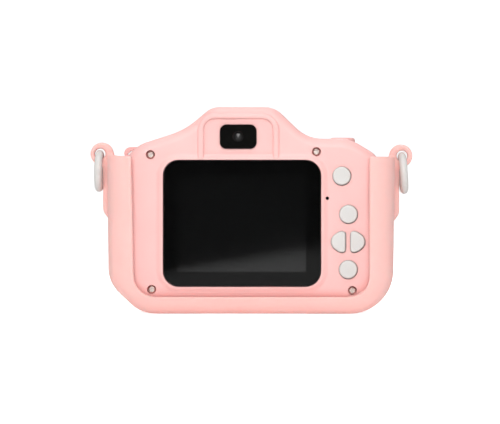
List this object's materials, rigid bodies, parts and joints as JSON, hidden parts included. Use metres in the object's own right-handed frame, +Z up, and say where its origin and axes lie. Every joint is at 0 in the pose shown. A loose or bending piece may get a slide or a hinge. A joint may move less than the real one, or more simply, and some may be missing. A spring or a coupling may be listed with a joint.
{
  "type": "kids digital camera",
  "caption": "Small digital camera for children in a soft silicone sleeve, with a rear display, keys, a shutter button and side carrying rings.",
  "frame": {"origin": "on the floor under the middle of the camera's box, rings and lens included", "axes": "+X to the right seen from the back, +Y out of the lens, +Z up"},
  "size_m": [0.1036, 0.0418, 0.0658],
  "materials": {
    "pink_plastic": "satin moulded ABS, pale pink",
    "pink_button": "satin moulded ABS, pale pink",
    "silicone": "matt soft silicone, pale pink, slightly translucent",
    "white_plastic": "satin warm white",
    "clear_window": "clear glossy acrylic",
    "black_gloss": "glossy black",
    "display_glass": "dark, switched off display",
    "lens_glass": "coated lens",
    "diffuser": "milky diffuser",
    "flash_phosphor": "yellow phosphor",
    "black_plastic": "matt black",
    "plunger_plastic": "matt grey",
    "circuit_board": "green solder mask",
    "flex_film": "amber polyimide",
    "steel": "nickel plated steel",
    "nickel": "plated sheet steel",
    "battery_foil": "aluminised pouch",
    "tape": "double sided tape",
    "foam": "closed cell foam",
    "cone_film": "black film",
    "wire": "insulated wire"
  },
  "bodies": {
    "camera": {"back_shell": "pink_plastic", "back_switches": "black_plastic", "battery": "battery_foil", "battery_leads": "wire", "battery_plug": "black_plastic", "battery_tape": "tape", "board_chips": "black_plastic", "board_screws": "steel", "card_socket": "nickel", "case_screws": "steel", "charging_port": "nickel", "display_flex": "flex_film", "display_gasket": "foam", "display_pad": "foam", "display_panel": "display_glass", "finder_window": "black_gloss", "flash_board": "circuit_board", "flash_emitter": "flash_phosphor", "flash_leads": "wire", "flash_window": "diffuser", "flex_connectors": "black_plastic", "front_camera_flex": "flex_film", "front_camera_lens": "lens_glass", "front_camera_module": "black_plastic", "front_shell": "pink_plastic", "lens_bezel": "black_gloss", "lens_cover": "clear_window", "lens_ring": "pink_plastic", "main_board": "circuit_board", "main_processor": "black_plastic", "microphone": "black_plastic", "rear_camera_flex": "flex_film", "rear_camera_lens": "lens_glass", "rear_camera_module": "black_plastic", "screen_window": "clear_window", "shutter_board": "circuit_board", "shutter_leads": "wire", "shutter_switch": "black_plastic", "silicone_sleeve": "silicone", "speaker": "black_plastic", "speaker_cone": "cone_film", "speaker_leads": "wire", "window_border": "black_gloss"},
    "left_ring": {"left_carrying_ring": "white_plastic"},
    "right_ring": {"right_carrying_ring": "white_plastic"},
    "shutter_release": {"shutter_button": "pink_button", "shutter_plunger": "plunger_plastic"},
    "menu_key": {"menu_button": "white_plastic", "menu_plunger": "plunger_plastic"},
    "up_key": {"up_button": "white_plastic", "up_plunger": "plunger_plastic"},
    "left_key": {"left_button": "white_plastic", "left_plunger": "plunger_plastic"},
    "right_key": {"right_button": "white_plastic", "right_plunger": "plunger_plastic"},
    "down_key": {"down_button": "white_plastic", "down_plunger": "plunger_plastic"}
  },
  "joints": [
    {"name": "menu_press", "type": "slide", "parent": "camera", "child": "menu_key", "axis": [0, 1, 0], "range_m": [0, 0.0004], "stiffness_N_per_m": 1500, "springref_m": -0.0004},
    {"name": "up_press", "type": "slide", "parent": "camera", "child": "up_key", "axis": [0, 1, 0], "range_m": [0, 0.0004], "stiffness_N_per_m": 1500, "springref_m": -0.0004},
    {"name": "left_press", "type": "slide", "parent": "camera", "child": "left_key", "axis": [0, 1, 0], "range_m": [0, 0.0004], "stiffness_N_per_m": 1500, "springref_m": -0.0004},
    {"name": "right_press", "type": "slide", "parent": "camera", "child": "right_key", "axis": [0, 1, 0], "range_m": [0, 0.0004], "stiffness_N_per_m": 1500, "springref_m": -0.0004},
    {"name": "down_press", "type": "slide", "parent": "camera", "child": "down_key", "axis": [0, 1, 0], "range_m": [0, 0.0004], "stiffness_N_per_m": 1500, "springref_m": -0.0004},
    {"name": "shutter_press", "type": "slide", "parent": "camera", "child": "shutter_release", "axis": [0, 0, -1], "range_m": [0, 0.0006], "stiffness_N_per_m": 1200, "springref_m": -0.0006},
    {"name": "left_ring_swing", "type": "hinge", "parent": "camera", "child": "left_ring", "pos_m": [-0.04885, -0.005, 0.05115], "axis": [0, 1, 0], "range_deg": [0, 175]},
    {"name": "right_ring_swing", "type": "hinge", "parent": "camera", "child": "right_ring", "pos_m": [0.04845, -0.005, 0.05045], "axis": [0, -1, 0], "range_deg": [0, 175]}
  ]
}
